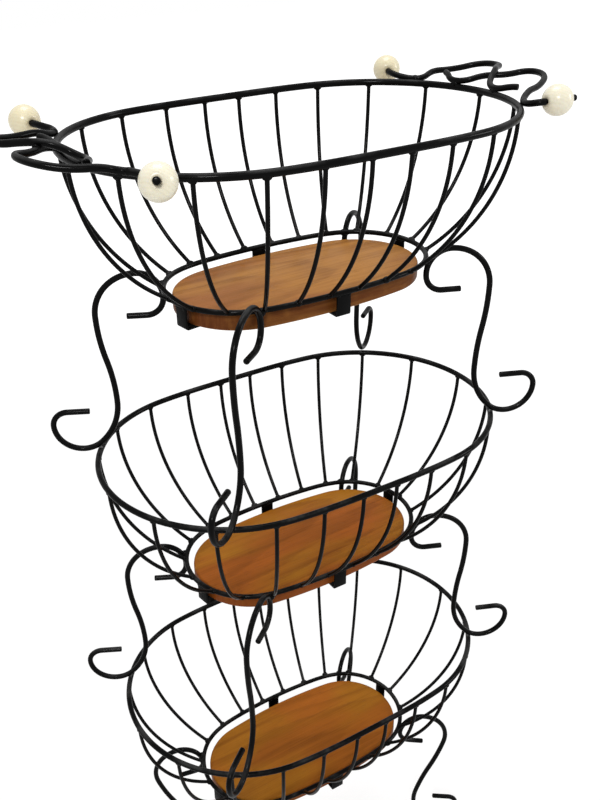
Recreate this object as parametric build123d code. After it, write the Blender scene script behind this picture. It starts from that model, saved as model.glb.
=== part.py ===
from build123d import *
import math
import os

# Three-tier wire fruit basket stand: millimetres, +Z up, long side along X, front towards -Y,
# origin on the floor under the middle of the stack.

# Basket outline: rim on top, smaller ring at the bottom, both ovals of four tangent arcs
rim_half_length = 175.0
rim_half_width = 112.0
ring_half_length = 110.0
ring_half_width = 60.5
rim_end_share = 0.98
ring_end_share = 0.94
basket_depth = 112.0
tier_spacing = 255.0

# Wire gauges
top_rim_wire = 5.6
lower_rim_wire = 4.8
ring_wire = 4.2
rib_wire = 3.2
leg_wire = 4.8
handle_wire = 5.0

# How far welded wires run into each other, and the gap between loose pieces
weld_depth = 0.3
loose_gap = 0.4

# Ribs: evenly spaced on the ring, closer together along the middle of the rim's long sides
rib_count = 22
rib_crowding_share = 0.3

# The four corners, by the sides of X and Y that they are on
corner_sides = {
    "left_front": (-1, -1),
    "left_rear": (-1, 1),
    "right_front": (1, -1),
    "right_rear": (1, 1),
}

# Scroll legs: S-shaped wires in upright planes at the ring's corners, each given by its angle round
# the ring's end arc and the angle that its plane turns out from the X axis
leg_place_angles = {"left_front": 76.0, "left_rear": 35.0, "right_front": 50.5, "right_rear": 63.0}
leg_plane_angles = {"left_front": 37.5, "left_rear": 27.5, "right_front": 23.5, "right_rear": 38.0}
leg_weld_angle = 26.0
leg_tip_length = 15.5
leg_tip_radius = 13.5
leg_tip_rise = 1.5
leg_inner_radius = 19.5
leg_outer_radius = 33.5
leg_flare_radius = 48.0
leg_flare_angle = 48.0
leg_foot_radius = 22.5
leg_foot_tip_radius = 12.0
leg_foot_tip_length = 18.5
leg_seat_angle = 62.0
foot_lean_angle = 17.5

# Wood floor and the strap clips that carry it
board_thickness = 13.0
board_edge_gap = 4.0
board_drop = 4.0
board_edge_radius = 2.0
clip_width = 12.0
clip_thickness = 1.6
clip_foot_length = 22.0
clip_bend_radius = 2.4
screw_inset = 14.0
screw_shank_radius = 1.5
screw_length = 8.0
screw_head_radius = 3.2
screw_head_height = 1.8
screw_hole_clearance = 0.3

# Handles: two crossing scroll wires at each end of the top basket, a bead on each wire's outer end
handle_reach = 40.0
handle_span = 54.0
handle_rise = 13.0
handle_skew = 5.0
handle_weld_angle = 34.0
handle_weld_rise = 3.0
handle_seat_angle = 11.5

# Turning points of a handle wire, as shares of its reach, span and rise, and its way at each
handle_place_shares = {
    "inner_end": (0.1, -0.78, 0.6),
    "crossing": (0.48, 0.0, 0.92),
    "peak": (1.0, 0.44, 1.0),
    "shoulder": (0.19, 1.0, 0.6),
}
handle_way_angles = {"inner_end": 112.0, "seat": 85.0, "crossing": 42.0, "peak": 90.0, "shoulder": 160.0}

# Beads and the pins that they turn on
bead_radius = 11.5
bead_length = 21.0
bead_rise = 6.0
bead_end_gap = 0.3
pin_radius = 1.9
pin_running_gap = 0.08
pin_end_radius = 2.4
pin_end_length = 6.0
pin_end_rounding = 1.0

# Each bead, as at the right rear corner: its distance and bearing from the handle's weld on the rim,
# and the bearing and upward tilt of its hole
bead_distances = {"left_front": 41.0, "left_rear": 37.0, "right_front": 24.0, "right_rear": 38.0}
bead_bearing_angles = {"left_front": 90.0, "left_rear": 77.0, "right_front": 56.0, "right_rear": 91.0}
bead_hole_angles = {"left_front": 62.0, "left_rear": 80.0, "right_front": 6.0, "right_rear": 60.0}
bead_tilt_angles = {"left_front": 18.0, "left_rear": 0.0, "right_front": 0.0, "right_rear": 0.0}

up = Vector(0, 0, 1)


def heading(degrees):
    """A level direction by its angle from +X."""
    angle = math.radians(degrees)
    return Vector(math.cos(angle), math.sin(angle), 0)


def mirrored(vector, x_sign, y_sign):
    """A vector carried to another corner."""
    return Vector(vector.X * x_sign, vector.Y * y_sign, vector.Z)


class Oval:
    """A four-arc oval: two end arcs about points on the X axis, two flatter side arcs."""

    def __init__(self, half_length, half_width, end_share):
        self.half_length = half_length
        self.half_width = half_width
        self.end_radius = half_width * end_share
        self.end_centre = half_length - self.end_radius
        rise = half_width - self.end_radius
        chord = self.end_centre ** 2 + half_width ** 2 - self.end_radius ** 2
        self.side_radius = chord / (2 * rise)
        self.join_angle = math.atan2(self.side_radius - half_width, self.end_centre)
        self.side_length = self.side_radius * (math.pi / 2 - self.join_angle)
        self.quarter_length = self.side_length + self.end_radius * self.join_angle

    def inset(self, distance):
        """The oval a fixed distance inside this one."""
        width = self.half_width - distance
        return Oval(self.half_length - distance, width, (self.end_radius - distance) / width)

    def at_angle(self, degrees, outward=0.0):
        """A point on the end arc, by its angle about the arc's centre."""
        angle = math.radians(degrees)
        radius = self.end_radius + outward
        return Vector(self.end_centre + radius * math.cos(angle), radius * math.sin(angle), 0)

    def at_share(self, share):
        """A point in the +X +Y quarter: 0 at the middle of the long side, 1 at the end."""
        distance = share * self.quarter_length
        if distance < self.side_length:
            angle = math.pi / 2 - distance / self.side_radius
            centre = Vector(0, self.half_width - self.side_radius, 0)
            return centre + Vector(math.cos(angle), math.sin(angle), 0) * self.side_radius
        angle = self.join_angle - (distance - self.side_length) / self.end_radius
        return self.at_angle(math.degrees(angle))

    def outline(self):
        """The closed outline on the XY plane."""
        join = self.at_angle(math.degrees(self.join_angle))
        corners = [(join.X * x, join.Y * y) for x, y in ((1, -1), (1, 1), (-1, 1), (-1, -1))]
        middles = [
            (self.half_length, 0),
            (0, self.half_width),
            (-self.half_length, 0),
            (0, -self.half_width),
        ]
        arcs = [
            ThreePointArc(corners[i], middles[i], corners[(i + 1) % len(corners)])
            for i in range(len(corners))
        ]
        return Wire(arcs)


rim_oval = Oval(rim_half_length, rim_half_width, rim_end_share)
ring_oval = Oval(ring_half_length, ring_half_width, ring_end_share)


def round_wire(path, diameter):
    """A round bar along a path of tangent lines and arcs."""
    section = Plane(origin=path @ 0, z_dir=path % 0) * Circle(diameter / 2)
    return sweep(section, path=path)


def upright_plane(point, outward):
    """A vertical sketch plane: local X points outward and local Y points up."""
    return Plane(origin=point, x_dir=outward, z_dir=outward.cross(up))


# Basket frame
def oval_wire(oval, diameter, height):
    """A closed wire hoop."""
    return Pos(0, 0, height) * round_wire(oval.outline(), diameter)


def quarter_place(turn):
    """Share of the quarter and the X and Y signs, for 0 to 4 quarters round from the front middle."""
    quarter = int(turn) % 4
    within = turn - int(turn)
    share = within if quarter % 2 == 0 else 1 - within
    return share, 1 if quarter < 2 else -1, 1 if quarter in (1, 2) else -1


def rib(turn, ring_height, rim_wire):
    """One bowed rib: an arc that leaves the rim upright and leans in to the ring."""
    share, x_sign, y_sign = quarter_place(turn)
    rim_share = share * (1 - rib_crowding_share + rib_crowding_share * share)
    low = ring_oval.at_share(share)
    high = rim_oval.at_share(rim_share)
    foot = Vector(low.X * x_sign, low.Y * y_sign, ring_height)
    run = Vector((high.X - low.X) * x_sign, (high.Y - low.Y) * y_sign, 0)
    radius = (run.length ** 2 + basket_depth ** 2) / (2 * run.length)
    sweep_angle = math.degrees(math.asin(basket_depth / radius))
    top_trim = math.degrees((rim_wire / 2 - weld_depth) / radius)
    low_trim = math.degrees((ring_wire / 2 - weld_depth) / radius)
    centre = (run.length - radius, basket_depth)
    arc = CenterArc(centre, radius, -sweep_angle + low_trim, sweep_angle - low_trim - top_trim)
    return round_wire(upright_plane(foot, run.normalized()) * arc, rib_wire)


def ribs(ring_height, rim_wire):
    """All ribs of one basket."""
    return [rib((i + 0.5) * 4 / rib_count, ring_height, rim_wire) for i in range(rib_count)]


# Scroll legs
def rim_crossing(corner):
    """How far out from the ring the leg's plane crosses the rim."""
    start = ring_oval.at_angle(leg_place_angles[corner]) - Vector(rim_oval.end_centre, 0, 0)
    along = start.dot(heading(leg_plane_angles[corner]))
    return math.sqrt(along ** 2 + rim_oval.end_radius ** 2 - start.length ** 2) - along


def foot_centre(corner):
    """Centre of the lower curl, which rests on the rim below from the inside over to the outside."""
    reach = leg_foot_radius + (leg_wire + lower_rim_wire) / 2 + loose_gap
    rim_below = Vector(rim_crossing(corner), basket_depth - tier_spacing)
    return rim_below + heading(leg_seat_angle) * reach


def inner_centre():
    """Centre of the upper curl, which is welded beside the ring."""
    reach = leg_inner_radius + (leg_wire + ring_wire) / 2 - weld_depth
    return heading(-leg_weld_angle) * reach


def leg_path(corner):
    """The S-scroll in its own plane, with the ring's centre line at the origin."""
    inner = inner_centre()
    inner_side = inner - Vector(leg_inner_radius, 0)
    tip_corner = inner_side - Vector(0, leg_tip_rise)
    tip_centre = tip_corner + Vector(leg_tip_radius, 0)
    tip_start = tip_centre - Vector(0, leg_tip_radius)
    outer = inner + Vector(0, leg_inner_radius - leg_outer_radius)
    shoulder = outer + Vector(leg_outer_radius, 0)
    foot = foot_centre(corner)
    flare = foot + heading(leg_flare_angle) * (leg_flare_radius - leg_foot_radius)
    neck = flare - Vector(leg_flare_radius, 0)
    waist = (shoulder + neck) * 0.5
    foot_side = foot + Vector(leg_foot_radius, 0)
    foot_tip = foot_side - Vector(leg_foot_tip_radius, 0)
    foot_tip_end = foot_tip + Vector(0, leg_foot_tip_radius)
    return Wire([
        Line(tip_start + Vector(leg_tip_length, 0), tip_start),
        CenterArc(tip_centre, leg_tip_radius, 270, -90),
        Line(tip_corner, inner_side),
        CenterArc(inner, leg_inner_radius, 180, -90),
        CenterArc(outer, leg_outer_radius, 90, -90),
        TangentArc(shoulder, waist, tangent=(0, -1)),
        TangentArc(neck, waist, tangent=(0, 1)),
        CenterArc(flare, leg_flare_radius, 180, leg_flare_angle),
        CenterArc(foot, leg_foot_radius, 180 + leg_flare_angle, 180 - leg_flare_angle),
        CenterArc(foot_tip, leg_foot_tip_radius, 0, 90),
        Line(foot_tip_end, foot_tip_end - Vector(leg_foot_tip_length, 0)),
    ])


def standing_level():
    """Level of the turned-in feet's centres under the upper curls: the highest of the four."""
    arms = [foot_centre(corner) - inner_centre() for corner in corner_sides]
    return max(arm.rotate(Axis.Z, -foot_lean_angle).Y for arm in arms)


def foot_turn(corner):
    """How far a foot of the lowest basket is turned in, so that all four stand on the same floor."""
    arm = foot_centre(corner) - inner_centre()
    return math.degrees(math.asin(-standing_level() / arm.length) - math.atan2(-arm.Y, arm.X))


def leg(corner, ring_height, turn):
    """One scroll leg at a corner of a basket, its foot turned in about its upper curl."""
    point = mirrored(ring_oval.at_angle(leg_place_angles[corner]), *corner_sides[corner])
    outward = mirrored(heading(leg_plane_angles[corner]), *corner_sides[corner])
    path = leg_path(corner).rotate(Axis(inner_centre(), up), -turn)
    return round_wire(upright_plane(point + up * ring_height, outward) * path, leg_wire)


# Wood floor, clips and screws
board_oval = ring_oval.inset(ring_wire / 2 + board_edge_gap)
clip_turns = (0, 1, 2, 3)
end_clip_turn = 2 / rib_count


def clip_planes(ring_height):
    """Upright planes at the four clips: two at the middles of the sides, two beside the end ribs."""
    planes = []
    for turn in clip_turns:
        share, x_sign, y_sign = quarter_place(turn + (end_clip_turn if turn % 2 else 0))
        place = ring_oval.at_share(share)
        inner = board_oval.at_share(share)
        point = Vector(place.X * x_sign, place.Y * y_sign, ring_height)
        outward = point - Vector(inner.X * x_sign, inner.Y * y_sign, ring_height)
        planes.append(upright_plane(point, outward.normalized()))
    return planes


def clip(plane):
    """A bent strap: welded under the ring, down past the board's edge, then in under the board."""
    top = weld_depth - ring_wire / 2
    floor = -board_drop - board_thickness
    half = clip_thickness / 2
    outline = Polyline(
        (-half, top),
        (-half, floor),
        (-clip_foot_length, floor),
        (-clip_foot_length, floor - clip_thickness),
        (half, floor - clip_thickness),
        (half, top),
        close=True,
    )
    face = make_face(outline)
    outer_corner = face.vertices().sort_by(Axis.X)[-2:].sort_by(Axis.Y)[0]
    face = fillet(outer_corner, clip_bend_radius)
    strap = extrude(plane * face, clip_width / 2, both=True)
    hole = Cylinder(screw_shank_radius + screw_hole_clearance, clip_foot_length)
    return strap - plane * Pos(-screw_inset, floor) * Rot(90, 0, 0) * hole


def clip_screw(plane):
    """A pan-head screw from below, through the clip's foot into the board."""
    floor = -board_drop - board_thickness - clip_thickness
    down = (Align.CENTER, Align.CENTER, Align.MAX)
    rise = (Align.CENTER, Align.CENTER, Align.MIN)
    head = Cylinder(screw_head_radius, screw_head_height, align=down)
    head = fillet(head.edges().sort_by(Axis.Z)[0], screw_head_height / 2)
    shank = Cylinder(screw_shank_radius, screw_length, align=rise)
    base = plane.from_local_coords(Vector(-screw_inset, floor, 0))
    return Pos(base) * (head + shank)


def board(ring_height, planes):
    """The oval wood floor, with a pilot hole for each clip screw."""
    top = ring_height - board_drop
    slab = Pos(0, 0, top - board_thickness) * extrude(make_face(board_oval.outline()), board_thickness)
    slab = fillet(slab.edges().filter_by(Plane.XY), board_edge_radius)
    for plane in planes:
        base = plane.from_local_coords(Vector(-screw_inset, -board_drop - board_thickness, 0))
        depth = 2 * (screw_length - clip_thickness)
        slab -= Pos(base) * Cylinder(screw_shank_radius, depth)
    return slab


# Handles and beads
def biarc(start, start_way, end, end_way):
    """Two tangent arcs from one point and direction to the next."""
    span = end - start
    ways = start_way + end_way
    bend = 2 * (1 - start_way.dot(end_way))
    reach = (math.sqrt(span.dot(ways) ** 2 + bend * span.dot(span)) - span.dot(ways)) / bend
    middle = (start + end + (start_way - end_way) * reach) * 0.5
    first = TangentArc(start, middle, tangent=start_way)
    second = TangentArc(middle, end, tangent=first % 1)
    return [first, second]


def handle_place(end, place):
    """A turning point of a handle wire, out from the rim's end."""
    reach_share, span_share, rise_share = handle_place_shares[place]
    return end + Vector(reach_share * handle_reach, span_share * handle_span, rise_share * handle_rise)


def handle_points(corner, rim_height):
    """Points and directions of one handle wire, from its inner end round to the bead."""
    x_sign, y_sign = corner_sides[corner]
    skew = handle_skew * x_sign * y_sign
    cross_lift = up * y_sign * (handle_wire - weld_depth) / 2
    contact = (top_rim_wire + handle_wire) / 2 - weld_depth
    weld = rim_oval.at_angle(handle_weld_angle, math.sqrt(contact ** 2 - handle_weld_rise ** 2))
    seat = rim_oval.at_angle(math.degrees(skew / rim_oval.end_radius) - handle_seat_angle)
    end = Vector(rim_half_length, skew, 0)
    ways = {place: heading(angle) for place, angle in handle_way_angles.items()}
    tilt = math.radians(bead_tilt_angles[corner])
    bead_way = heading(bead_hole_angles[corner]) * math.cos(tilt) + up * math.sin(tilt)
    bead_at = weld + heading(bead_bearing_angles[corner]) * bead_distances[corner] + up * bead_rise
    places = [
        (handle_place(end, "inner_end"), ways["inner_end"]),
        (seat + up * contact, ways["seat"]),
        (handle_place(end, "crossing") + cross_lift, ways["crossing"]),
        (handle_place(end, "peak"), ways["peak"]),
        (handle_place(end, "shoulder"), ways["shoulder"]),
        (weld + up * handle_weld_rise, heading(90 + handle_weld_angle)),
        (bead_at - bead_way * (bead_length / 2 + bead_end_gap), bead_way),
        (bead_at, bead_way),
    ]
    return [
        (mirrored(point, x_sign, y_sign) + up * rim_height, mirrored(way, x_sign, y_sign))
        for point, way in places
    ]


def handle(corner, rim_height):
    """One handle wire with its bead pin, and the bead that turns on the pin."""
    *points, (bead_at, aim) = handle_points(corner, rim_height)
    edges = []
    for (start, start_way), (end, end_way) in zip(points, points[1:]):
        edges += biarc(start, start_way, end, end_way)
    outward = Plane(origin=points[-1][0], z_dir=aim)
    rise = (Align.CENTER, Align.CENTER, Align.MIN)
    pin_length = bead_length + 2 * bead_end_gap
    pin = outward * Cylinder(pin_radius, pin_length, align=rise)
    head = Cylinder(pin_end_radius, pin_end_length, align=rise)
    head = fillet(head.edges().sort_by(Axis.Z)[-1], pin_end_rounding)
    wire = round_wire(Wire(edges), handle_wire) + pin + outward * Pos(0, 0, pin_length) * head
    ball = Sphere(bead_radius) & Cylinder(bead_radius, bead_length)
    ball -= Cylinder(pin_radius + pin_running_gap, bead_length)
    return wire, Plane(origin=bead_at, z_dir=aim) * ball


# Assembly
def write(name, shape):
    """Save one named piece, or one group of like pieces."""
    export_step(shape, f"parts/{name}.step")


os.makedirs("parts", exist_ok=True)
ring_base = leg_foot_radius + leg_wire / 2 - standing_level() - inner_centre().Y
baskets = ("bottom", "middle", "top")
for level, basket in enumerate(baskets):
    ring_height = ring_base + level * tier_spacing
    rim_height = ring_height + basket_depth
    rim_wire = top_rim_wire if basket == "top" else lower_rim_wire
    planes = clip_planes(ring_height)
    write(f"{basket}_rim", oval_wire(rim_oval, rim_wire, rim_height))
    write(f"{basket}_ring", oval_wire(ring_oval, ring_wire, ring_height))
    write(f"{basket}_ribs", Compound(children=ribs(ring_height, rim_wire)))
    write(f"{basket}_board", board(ring_height, planes))
    write(f"{basket}_clips", Compound(children=[clip(plane) for plane in planes]))
    write(f"{basket}_screws", Compound(children=[clip_screw(plane) for plane in planes]))
    for corner in corner_sides:
        turn = foot_turn(corner) if basket == "bottom" else 0
        write(f"{basket}_leg_{corner}", leg(corner, ring_height, turn))

for corner in corner_sides:
    wire, bead = handle(corner, rim_height)
    write(f"handle_{corner}", wire)
    write(f"bead_{corner}", bead)

print("ring heights", [round(ring_base + i * tier_spacing, 2) for i in range(len(baskets))])
print("rim height of the top basket", round(rim_height, 2))
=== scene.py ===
import math
import bpy
import bmesh
from mathutils import Matrix, Vector


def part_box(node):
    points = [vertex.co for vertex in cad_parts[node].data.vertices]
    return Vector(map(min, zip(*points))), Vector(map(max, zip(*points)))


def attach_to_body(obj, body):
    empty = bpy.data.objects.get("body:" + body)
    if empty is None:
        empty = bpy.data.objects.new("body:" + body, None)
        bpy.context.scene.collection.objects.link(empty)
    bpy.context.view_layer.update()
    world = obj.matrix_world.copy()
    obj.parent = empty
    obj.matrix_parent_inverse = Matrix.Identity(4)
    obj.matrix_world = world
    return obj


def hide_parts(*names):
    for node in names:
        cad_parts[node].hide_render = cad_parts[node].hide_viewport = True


# A stack of three oval wire fruit baskets: long side along X, front towards -Y
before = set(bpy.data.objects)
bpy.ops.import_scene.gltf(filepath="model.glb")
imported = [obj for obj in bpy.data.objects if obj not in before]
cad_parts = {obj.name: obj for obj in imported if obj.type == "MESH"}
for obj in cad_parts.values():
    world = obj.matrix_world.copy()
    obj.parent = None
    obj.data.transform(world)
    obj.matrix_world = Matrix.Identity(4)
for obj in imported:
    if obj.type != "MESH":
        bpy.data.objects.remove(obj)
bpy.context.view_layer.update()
mm = 0.001
up = Vector((0, 0, 1))
tiers = ("bottom", "middle", "top")
print("frame loaded:", len(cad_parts), "nodes")


# Sockets that take arithmetic, and one way to add any node
class Link:
    def __init__(self, tree, socket):
        self.tree = tree
        self.socket = socket

    def out(self, name):
        return Link(self.tree, self.socket.node.outputs[name])

    def __add__(self, other):
        return self.tree.maths("ADD", self, other)

    def __radd__(self, other):
        return self.tree.maths("ADD", other, self)

    def __sub__(self, other):
        return self.tree.maths("SUBTRACT", self, other)

    def __rsub__(self, other):
        return self.tree.maths("SUBTRACT", other, self)

    def __mul__(self, other):
        return self.tree.maths("MULTIPLY", self, other)

    def __rmul__(self, other):
        return self.tree.maths("MULTIPLY", other, self)

    def __pow__(self, other):
        return self.tree.maths("POWER", self, other)


class NodeTree:
    def __init__(self, tree):
        self.tree = tree

    def add(self, kind, settings=None, values=None, output=0):
        node = self.tree.nodes.new(kind)
        for name, value in (settings or {}).items():
            setattr(node, name, value)
        pairs = values.items() if isinstance(values, dict) else enumerate(values or [])
        for key, value in pairs:
            if isinstance(value, Link):
                self.tree.links.new(value.socket, node.inputs[key])
            else:
                node.inputs[key].default_value = value
        return Link(self, node.outputs[output]) if len(node.outputs) else node

    def maths(self, operation, *terms):
        return self.add("ShaderNodeMath", {"operation": operation}, terms)

    def between(self, value, low, high):  # 0 below low, 1 above high, smooth in the middle
        return self.add(
            "ShaderNodeMapRange",
            {"interpolation_type": "SMOOTHSTEP"},
            {"Value": value, "From Min": low, "From Max": high},
        )

    def mix(self, factor, first, second):  # by number, because the node's colour sockets share their names
        return self.add("ShaderNodeMix", {"data_type": "RGBA"}, {0: factor, 6: first, 7: second}, 2)

    def random(self, low, high, seed):  # by number too, for the sockets that hold plain numbers
        return self.add("FunctionNodeRandomValue", {"data_type": "FLOAT"}, {2: low, 3: high, 8: seed}, 1)

    def noise(self, place, scale, detail, roughness=0.55):
        return self.add(
            "ShaderNodeTexNoise",
            {},
            {"Vector": place, "Scale": scale, "Detail": detail, "Roughness": roughness},
        )

    def stretched(self, place, scales, offset=(0, 0, 0)):
        return self.add("ShaderNodeMapping", {}, {"Vector": place, "Location": offset, "Scale": scales})

    def vector(self, x, y, z):
        return self.add("ShaderNodeCombineXYZ", {}, [x, y, z])

    def apart(self, vector):  # its X, Y and Z, each taken with out
        return self.add("ShaderNodeSeparateXYZ", {}, [vector])

    def objectPlace(self):
        return self.add("ShaderNodeTexCoord").out("Object")

    def facing(self):
        return self.apart(self.add("ShaderNodeNewGeometry").out("Normal"))

    # real wear on wires, boards and clips, and painted shade round the bead holes
    def wearAndShade(self):
        return self.add("ShaderNodeAttribute", {"attribute_name": "wearAndShade"}).out("Fac")

    def bump(self, strength, depth, height):
        return self.add("ShaderNodeBump", {}, {"Strength": strength, "Distance": depth, "Height": height})


def swing(noise, amount):  # a noise taken about its middle
    return (noise - 0.5) * amount


def grey(value):
    return (value, value, value, 1)


def newMaterial(name):
    material = bpy.data.materials.new(name)
    material.use_nodes = True
    tree = NodeTree(material.node_tree)
    shader = material.node_tree.nodes["Principled BSDF"]
    return material, tree, shader


def feed(tree, shader, values):
    for name, value in values.items():
        if isinstance(value, Link):
            tree.tree.links.new(value.socket, shader.inputs[name])
        else:
            shader.inputs[name].default_value = value


# Finishes: a noise's two values are where it starts to show and where it shows in full
enamel = {
    "black": 0.0014,
    # dust with a painted sheen: up-facing enamel is greyed in patches, partly dust and partly a painted
    # highlight
    "dustAndSheenGrey": 0.045,
    "bareSteel": 0.11,
    "specular": 0.02,
    "coat": 0.08,
    "coatRoughness": 0.1,
    "roughness": (0.24, 0.4),
    "cloudScale": 38,
    "peelScale": 1100,
    "peelShare": 0.25,
    "sagScale": 170,
    "sagShare": 0.75,
    "sagDepth": 0.22 * mm,
    "dustAndSheenFacing": (0.25, 0.95),
    "dustAndSheenNoise": (0.42, 0.7),
    "dustAndSheenStrength": 0.8,
    "dustAndSheenRoughness": 0.22,
    "speckScale": 2600,
    "speckNoise": (0.66, 0.72),
    "chipScale": 420,
    "chipSwing": 0.9,
    "chipNoise": (0.7, 0.8),
    "chipRoughness": 0.15,
    "chipShare": 0.5,
}


def enamelMaterial(name, look, roughen=0.0, lumps=0.0):
    material, tree, shader = newMaterial(name)
    place = tree.objectPlace()
    peel = tree.noise(place, look["peelScale"], detail=2)
    sag = tree.noise(place, look["sagScale"], detail=3)
    cloud = tree.noise(place, look["cloudScale"], detail=4, roughness=0.6)
    specks = tree.between(tree.noise(place, look["speckScale"], detail=1), *look["speckNoise"])
    # painted sheen and dust: surfaces that face up are greyed in cloudy patches, standing in for soft
    # highlights as well as dust
    lying = tree.between(tree.facing().out("Z"), *look["dustAndSheenFacing"])
    dustAndSheen = lying * tree.between(cloud, *look["dustAndSheenNoise"])
    flakes = tree.noise(place, look["chipScale"], detail=5, roughness=0.7)
    chips = tree.between(tree.wearAndShade() + swing(flakes, look["chipSwing"]), *look["chipNoise"])
    dustAndSheenShare = dustAndSheen * look["dustAndSheenStrength"] + specks * dustAndSheen
    colour = tree.mix(dustAndSheenShare, grey(look["black"]), grey(look["dustAndSheenGrey"]))
    colour = tree.mix(chips, colour, grey(look["bareSteel"]))
    low, high = look["roughness"]
    rough = low + roughen + cloud * (high - low)
    rough = rough + dustAndSheen * look["dustAndSheenRoughness"] + chips * look["chipRoughness"]
    height = peel * look["peelShare"] + sag * (look["sagShare"] + lumps) - chips * look["chipShare"]
    feed(tree, shader, {
        "Base Color": colour,
        "Roughness": rough,
        "Metallic": chips,
        "Specular IOR Level": look["specular"],
        "Coat Weight": look["coat"],
        "Coat Roughness": look["coatRoughness"],
        "Normal": tree.bump(1.0, look["sagDepth"], height),
    })
    return material


boardWood = {
    "top": {
        "light": (0.45, 0.197, 0.042, 1),
        "ruddy": (0.35, 0.13, 0.036, 1),
        "dark": (0.2, 0.074, 0.015, 1),
        "side": (0.08, 0.016, 0.003, 1),
        "offset": (0.31, 0.012, 0.0),
    },
    "middle": {
        "light": (0.43, 0.168, 0.014, 1),
        "ruddy": (0.42, 0.115, 0.016, 1),
        "dark": (0.175, 0.049, 0.005, 1),
        "side": (0.17, 0.038, 0.006, 1),
        "offset": (0.93, -0.02, 0.004),
    },
    "bottom": {
        "light": (0.42, 0.16, 0.014, 1),
        "ruddy": (0.43, 0.127, 0.015, 1),
        "dark": (0.2, 0.06, 0.006, 1),
        "side": (0.13, 0.03, 0.005, 1),
        "offset": (1.7, 0.016, -0.003),
    },
    "grains": {  # scales along, across and through the board, then detail and roughness
        "drift": ((2.2, 9, 9), 2, 0.5),
        "wander": ((7, 60, 60), 3, 0.6),
        "fibre": ((14, 900, 900), 4, 0.65),
        "streak": ((4.5, 130, 130), 3, 0.6),
        "pore": ((70, 2400, 2400), 2, 0.5),
        "hue": ((9, 22, 22), 2, 0.5),
        "endGrain": ((520, 520, 90), 3, 0.6),
    },
    "mottleScale": 16,
    "pithDepth": 0.085,
    "pithSlope": 0.045,
    "pithDrift": (0.05, 0.03),  # sideways and down
    "ringSpacing": 0.0052,
    "ringWander": 0.9,
    "lateStart": (0.35, 0.86),  # shares of a ring
    "lateEnd": (0.9, 1.0),
    "lateStrength": 0.2,
    "fibreSwing": 0.7,
    "streakSwing": 0.85,
    "mottleSwing": 0.5,
    "darkness": 0.28,
    "hueNoise": (0.38, 0.62),
    "pore": (0.09, 0.022, 0.004, 1),
    "poreNoise": (0.63, 0.72),
    "poreStrength": 0.4,
    "sideFacing": (0.25, 0.85),
    "sideStrength": 0.78,
    "sideStreaks": 0.8,
    "endFacing": (0.35, 0.9),
    "endStreaks": 0.7,
    "rubbedNoise": (0.35, 0.65),
    "rubbedStrength": 0.35,
    "roughness": 0.36,
    "fibreRoughness": 0.3,
    "poreRoughness": 0.2,
    "sideRoughness": 0.1,
    "reliefStrength": 0.8,
    "reliefDepth": 0.12 * mm,
    "fibreRelief": 0.6,
    "lateRelief": 0.5,
    "specular": 0.05,
    "varnish": 0.03,
    "varnishRoughness": 0.22,
}


def woodMaterial(name, tones, look):
    material, tree, shader = newMaterial(name)
    place = tree.stretched(tree.objectPlace(), (1, 1, 1), tones["offset"])
    grain = {
        kind: tree.noise(tree.stretched(place, scales), 1, detail, roughness)
        for kind, (scales, detail, roughness) in look["grains"].items()
    }
    drift, fibre, streak = grain["drift"], grain["fibre"], grain["streak"]
    mottle = tree.noise(place, look["mottleScale"], detail=3, roughness=0.6)
    axes = tree.apart(place)
    sideways, down = look["pithDrift"]
    across = axes.out("Y") + swing(drift, sideways)
    below = look["pithDepth"] + axes.out("X") * look["pithSlope"] + swing(drift, down)
    radius = (across * across + below * below) ** 0.5
    late = tree.maths("FRACT", radius * (1 / look["ringSpacing"]) + grain["wander"] * look["ringWander"])
    lateWood = tree.between(late, *look["lateStart"]) * (1 - tree.between(late, *look["lateEnd"]))
    pores = tree.between(grain["pore"], *look["poreNoise"])
    depth = lateWood * look["lateStrength"] + swing(fibre, look["fibreSwing"])
    depth = depth + swing(streak, look["streakSwing"]) + swing(mottle, look["mottleSwing"]) + look["darkness"]
    colour = tree.mix(tree.between(grain["hue"], *look["hueNoise"]), tones["light"], tones["ruddy"])
    colour = tree.mix(tree.between(depth, 0.0, 1.0), colour, tones["dark"])
    colour = tree.mix(pores * look["poreStrength"], colour, look["pore"])
    facing = tree.facing()
    side = 1 - tree.between(tree.maths("ABSOLUTE", facing.out("Z")), *look["sideFacing"])
    atEnds = tree.between(tree.maths("ABSOLUTE", facing.out("X")), *look["endFacing"])
    sideGrain = swing(grain["endGrain"], atEnds) * look["endStreaks"]
    sideGrain = sideGrain + swing(streak, 1 - atEnds) * look["sideStreaks"]
    colour = tree.mix(side * (look["sideStrength"] + sideGrain), colour, tones["side"])
    rubbed = tree.wearAndShade() * tree.between(mottle, *look["rubbedNoise"]) * look["rubbedStrength"]
    colour = tree.mix(rubbed, colour, tones["light"])
    rough = look["roughness"] + swing(fibre, look["fibreRoughness"])
    rough = rough + pores * look["poreRoughness"] + side * look["sideRoughness"]
    height = fibre * look["fibreRelief"] + lateWood * look["lateRelief"] - pores
    feed(tree, shader, {
        "Base Color": colour,
        "Roughness": rough,
        "Specular IOR Level": look["specular"],
        "Coat Weight": look["varnish"],
        "Coat Roughness": look["varnishRoughness"],
        "Normal": tree.bump(look["reliefStrength"], look["reliefDepth"], height),
    })
    return material


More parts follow.
